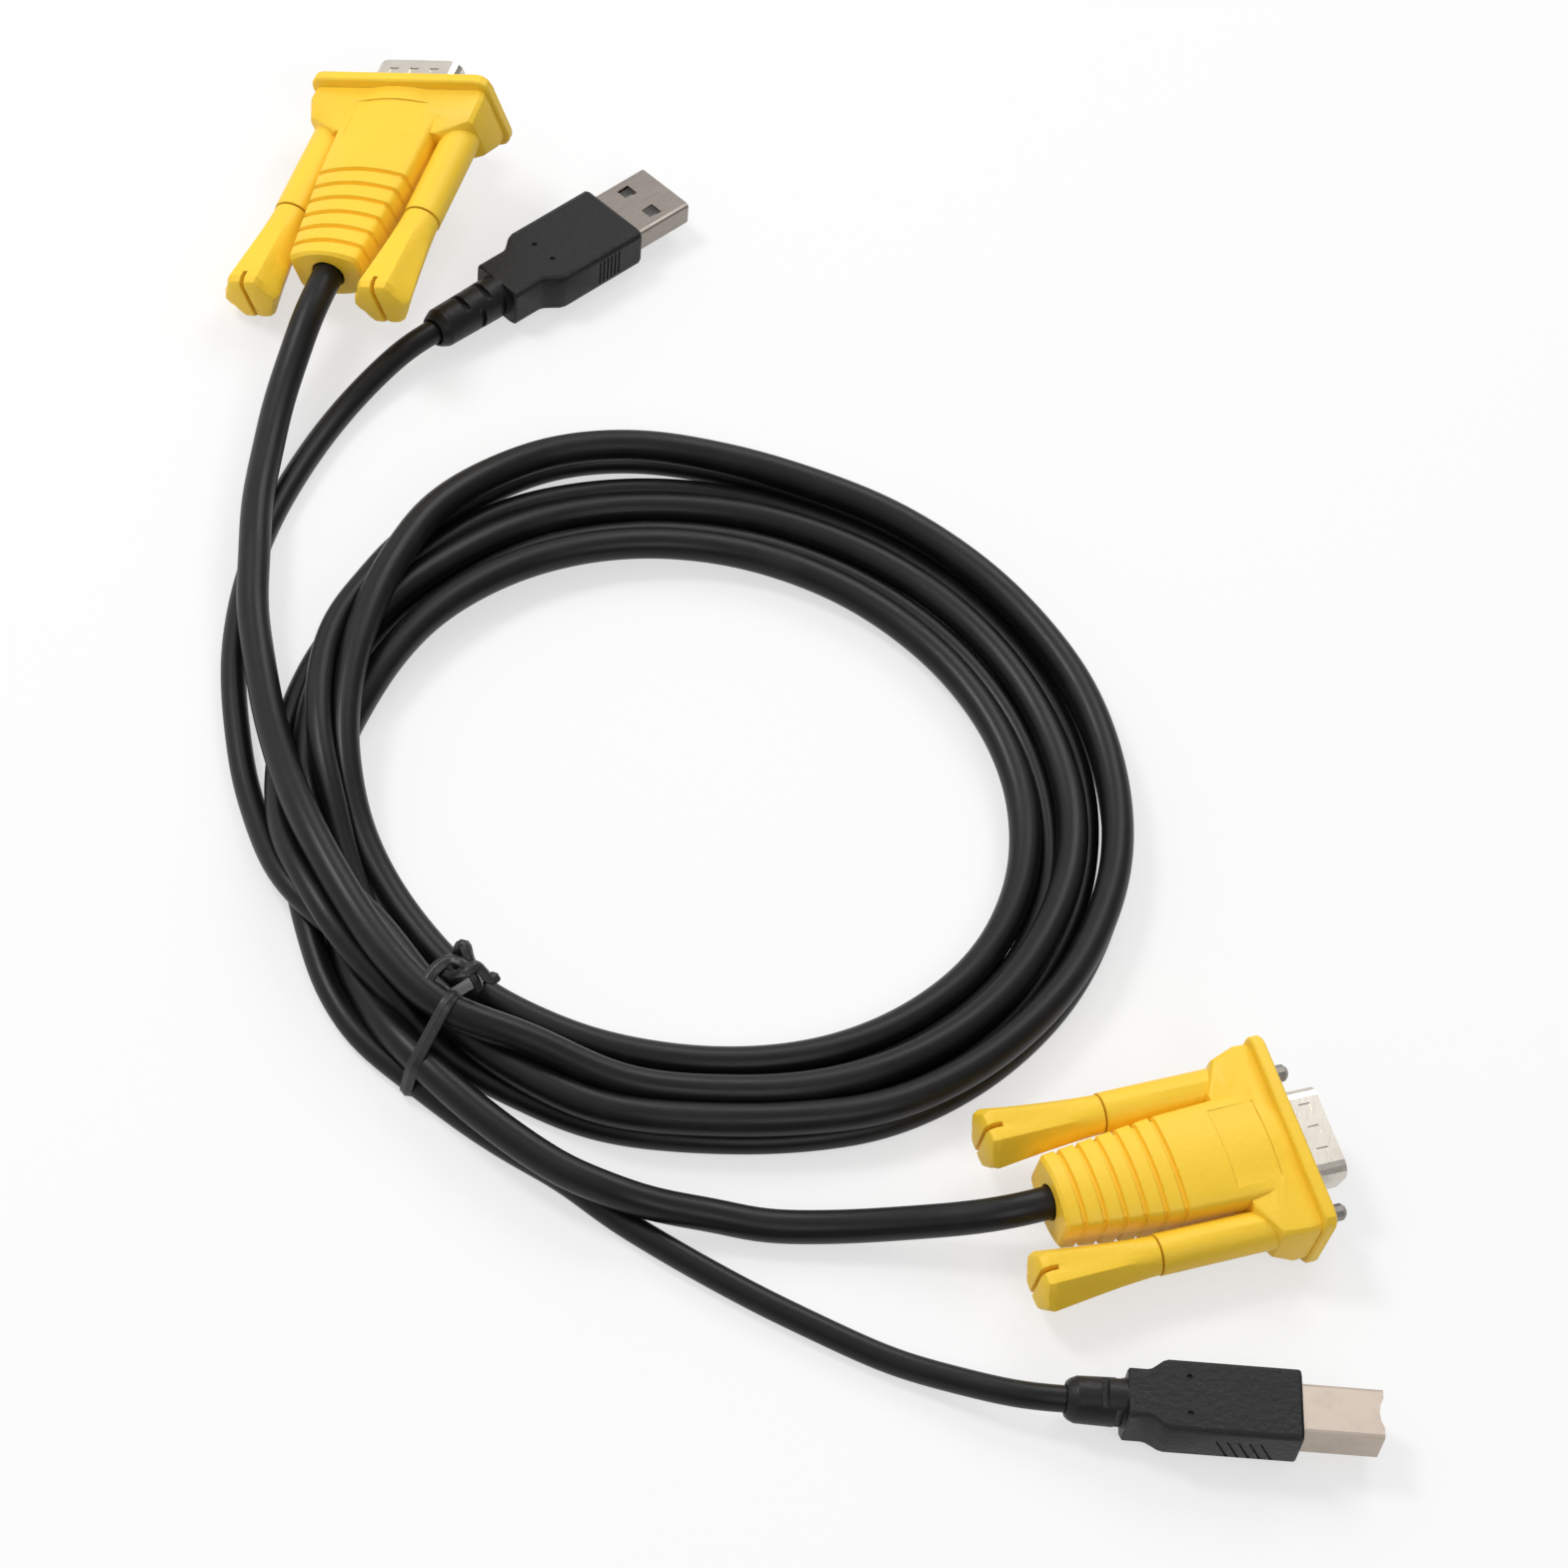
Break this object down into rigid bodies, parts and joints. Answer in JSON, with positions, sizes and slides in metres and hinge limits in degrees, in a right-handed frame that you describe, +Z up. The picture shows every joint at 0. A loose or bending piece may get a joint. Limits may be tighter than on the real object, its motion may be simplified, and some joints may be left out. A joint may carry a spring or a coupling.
{
  "type": "kvm cable",
  "caption": "Coiled keyboard, video and mouse cable: a thick video lead with yellow thumbscrew plugs and a thin data lead with a flat and a square plug, held by a twist tie.",
  "frame": {"origin": "centre of the plugs' and tie's bounding box, on the surface that the cable lies on", "axes": "+Z up from the surface; +X to the right and +Y away from a viewer who sees the coil between the two pairs of plugs, as in the picture"},
  "size_m": [0.2266, 0.2188, 0.0272],
  "materials": {
    "hood": "moulded, satin",
    "knob": "moulded, satin, fluted",
    "nickel": "nickel plate, satin",
    "warm_nickel": "warm nickel plate, satin",
    "screw": "plated steel thread",
    "contact": "gold flash",
    "insulator": "glass-filled, satin",
    "white_insulator": "moulded, satin",
    "overmould": "soft vinyl, satin",
    "jacket": "vinyl cable jacket, satin",
    "tie": "plastic strip on wire"
  },
  "bodies": {
    "cable_set": {"coil": "jacket", "twist_tie": "tie", "usb_a_overmould": "overmould", "usb_a_shell": "nickel", "usb_a_tongue": "white_insulator", "usb_b_insert": "white_insulator", "usb_b_overmould": "overmould", "usb_b_shell": "warm_nickel", "usb_lead_a": "jacket", "usb_lead_b": "jacket", "vga_a_hood": "hood", "vga_a_insulator": "insulator", "vga_a_pin_01": "contact", "vga_a_pin_02": "contact", "vga_a_pin_03": "contact", "vga_a_pin_04": "contact", "vga_a_pin_05": "contact", "vga_a_pin_06": "contact", "vga_a_pin_07": "contact", "vga_a_pin_08": "contact", "vga_a_pin_09": "contact", "vga_a_pin_10": "contact", "vga_a_pin_11": "contact", "vga_a_pin_12": "contact", "vga_a_pin_13": "contact", "vga_a_pin_14": "contact", "vga_a_pin_15": "contact", "vga_a_shell": "nickel", "vga_b_hood": "hood", "vga_b_insulator": "insulator", "vga_b_pin_01": "contact", "vga_b_pin_02": "contact", "vga_b_pin_03": "contact", "vga_b_pin_04": "contact", "vga_b_pin_05": "contact", "vga_b_pin_06": "contact", "vga_b_pin_07": "contact", "vga_b_pin_08": "contact", "vga_b_pin_09": "contact", "vga_b_pin_10": "contact", "vga_b_pin_11": "contact", "vga_b_pin_12": "contact", "vga_b_pin_13": "contact", "vga_b_pin_14": "contact", "vga_b_pin_15": "contact", "vga_b_shell": "nickel", "vga_lead_a": "jacket", "vga_lead_b": "jacket"},
    "thumbscrew_a_left": {"vga_a_knob_left": "knob", "vga_a_screw_left": "screw"},
    "thumbscrew_a_right": {"vga_a_knob_right": "knob", "vga_a_screw_right": "screw"},
    "thumbscrew_b_left": {"vga_b_knob_left": "knob", "vga_b_screw_left": "screw"},
    "thumbscrew_b_right": {"vga_b_knob_right": "knob", "vga_b_screw_right": "screw"}
  },
  "joints": [
    {"name": "thumbscrew_a_left_spin", "type": "hinge", "parent": "cable_set", "child": "thumbscrew_a_left", "pos_m": [-0.10684, 0.07627, 0.00671], "axis": [0.0957, 0.994, 0.0523], "continuous": true},
    {"name": "thumbscrew_a_right_spin", "type": "hinge", "parent": "cable_set", "child": "thumbscrew_a_right", "pos_m": [-0.08455, 0.07354, 0.0177], "axis": [0.0957, 0.994, 0.0523], "continuous": true},
    {"name": "thumbscrew_b_left_spin", "type": "hinge", "parent": "cable_set", "child": "thumbscrew_b_left", "pos_m": [0.06032, -0.05773, 0.0093], "axis": [0.8453, 0.5344, 0], "continuous": true},
    {"name": "thumbscrew_b_right_spin", "type": "hinge", "parent": "cable_set", "child": "thumbscrew_b_right", "pos_m": [0.07365, -0.07882, 0.00773], "axis": [0.8453, 0.5344, 0], "continuous": true}
  ]
}
